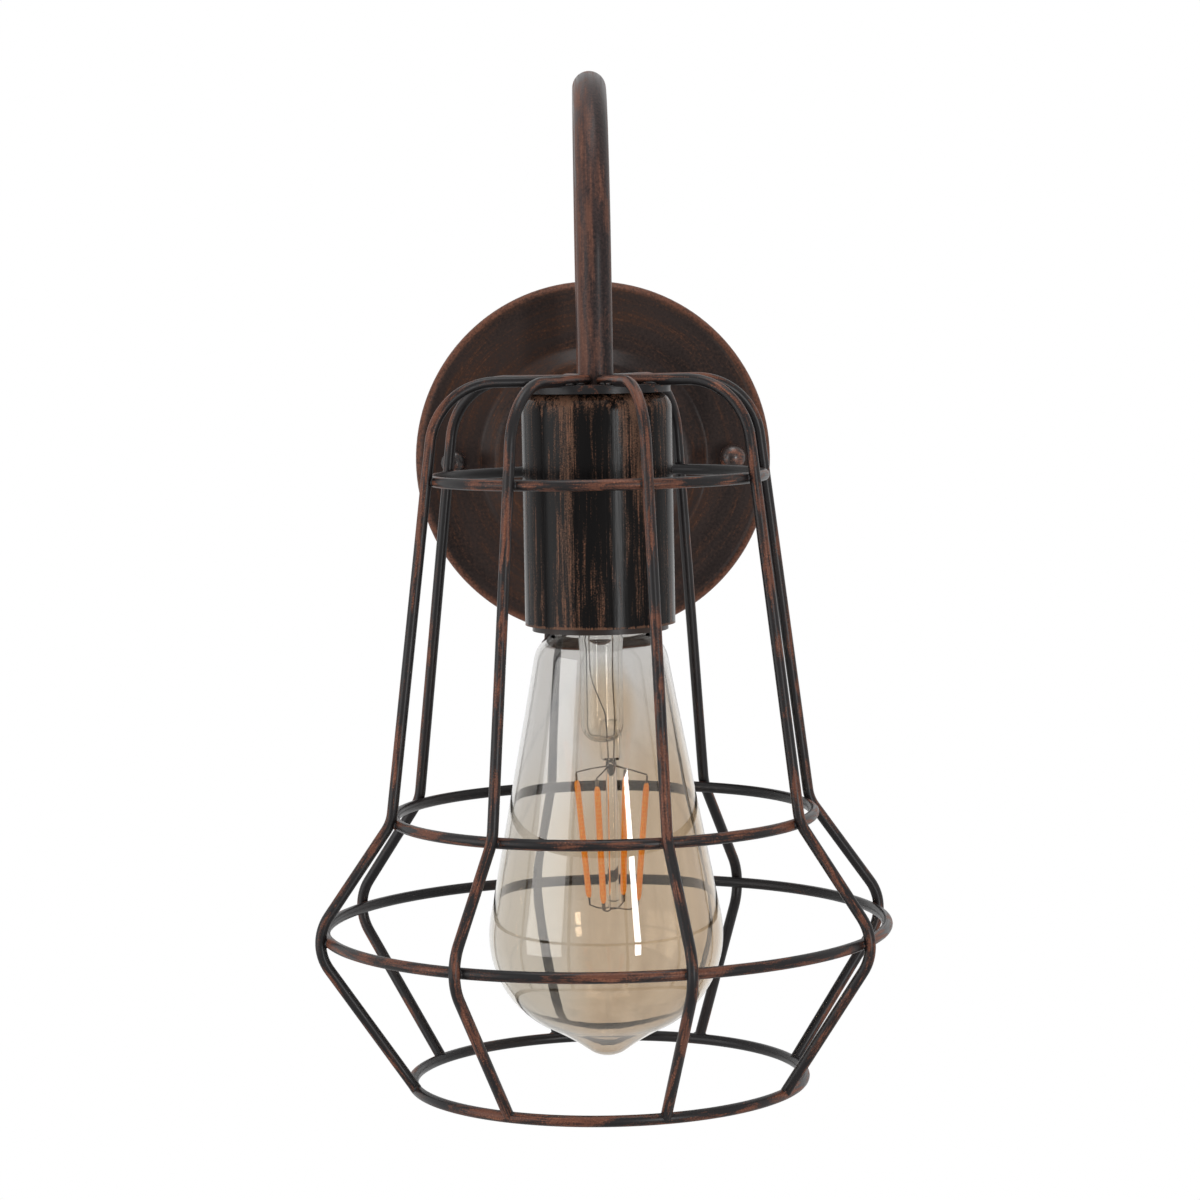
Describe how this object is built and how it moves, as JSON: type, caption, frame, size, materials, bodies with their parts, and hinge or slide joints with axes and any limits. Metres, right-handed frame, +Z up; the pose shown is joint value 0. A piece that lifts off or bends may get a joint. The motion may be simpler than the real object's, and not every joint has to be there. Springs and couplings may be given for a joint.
{
  "type": "wall lamp",
  "caption": "Wall lamp: round canopy, tube arm looping over to a wire cage around a screw-in filament bulb in a metal cup, in black brushed with copper.",
  "frame": {"origin": "on the wall, at the canopy's centre", "axes": "+Z up, the lamp stands out from the wall towards -Y, +X to the right seen from the front"},
  "size_m": [0.1558, 0.2179, 0.2772],
  "materials": {
    "antique_metal": "black enamel brushed over with copper brown, satin",
    "zinc_steel": "zinc plated",
    "block_plastic": "moulded, pale",
    "ceramic": "dark brown glaze",
    "brass": "pressed brass",
    "live_insulation": "brown",
    "neutral_insulation": "blue",
    "earth_insulation": "green and yellow",
    "amber_glass": "clear amber tint",
    "clear_glass": "clear",
    "filament": "orange coated strip",
    "bright_wire": "drawn wire",
    "nickel_cap": "plated thin sheet",
    "black_glass": "black glass",
    "solder": "soldered",
    "board": "pale laminate"
  },
  "bodies": {
    "lamp": {"canopy": "antique_metal", "canopy_cap_nuts": "antique_metal", "arm_tube": "antique_metal", "cage_plate": "antique_metal", "cage_neck_ring": "antique_metal", "cage_waist_ring": "antique_metal", "cage_belly_ring": "antique_metal", "cage_mouth_ring": "antique_metal", "socket_cup": "antique_metal", "cage_rib_1": "antique_metal", "cage_rib_2": "antique_metal", "cage_rib_3": "antique_metal", "cage_rib_4": "antique_metal", "cage_rib_5": "antique_metal", "cage_rib_6": "antique_metal", "cage_rib_7": "antique_metal", "cage_rib_8": "antique_metal", "wall_bracket": "zinc_steel", "bracket_studs": "zinc_steel", "stud_lock_nuts": "zinc_steel", "rear_nipple": "zinc_steel", "arm_tooth_washer": "zinc_steel", "arm_lock_nut": "zinc_steel", "front_nipple": "zinc_steel", "cup_lock_nut": "zinc_steel", "holder_hub": "zinc_steel", "hub_screws": "zinc_steel", "earth_screw": "zinc_steel", "earth_cup_washer": "zinc_steel", "terminal_block_screws": "zinc_steel", "terminal_screws": "zinc_steel", "terminal_block": "block_plastic", "lampholder_body": "ceramic", "screw_shell": "brass", "centre_contact": "brass", "holder_terminals": "brass", "live_wire": "live_insulation", "neutral_wire": "neutral_insulation", "earth_wire": "earth_insulation"},
    "bulb_travel_body": {"bulb_tip_contact": "solder"},
    "bulb": {"bulb_glass": "amber_glass", "bulb_stem": "clear_glass", "bulb_filaments": "filament", "bulb_support_wires": "bright_wire", "bulb_cap": "nickel_cap", "bulb_insulator": "black_glass", "bulb_driver_board": "board"}
  },
  "joints": [
    {"name": "bulb_travel", "type": "slide", "parent": "lamp", "child": "bulb_travel_body", "axis": [0, 0, -1], "range_m": [0, 0.01634]},
    {"name": "bulb_turn", "type": "hinge", "parent": "bulb_travel_body", "child": "bulb", "pos_m": [0, -0.14, -0.0425], "axis": [0, 0, -1], "range_deg": [0, 1620]}
  ],
  "couplings": [
    {"joint": "bulb_travel", "follows": "bulb_turn", "m_per_rad": 0.00057773}
  ]
}
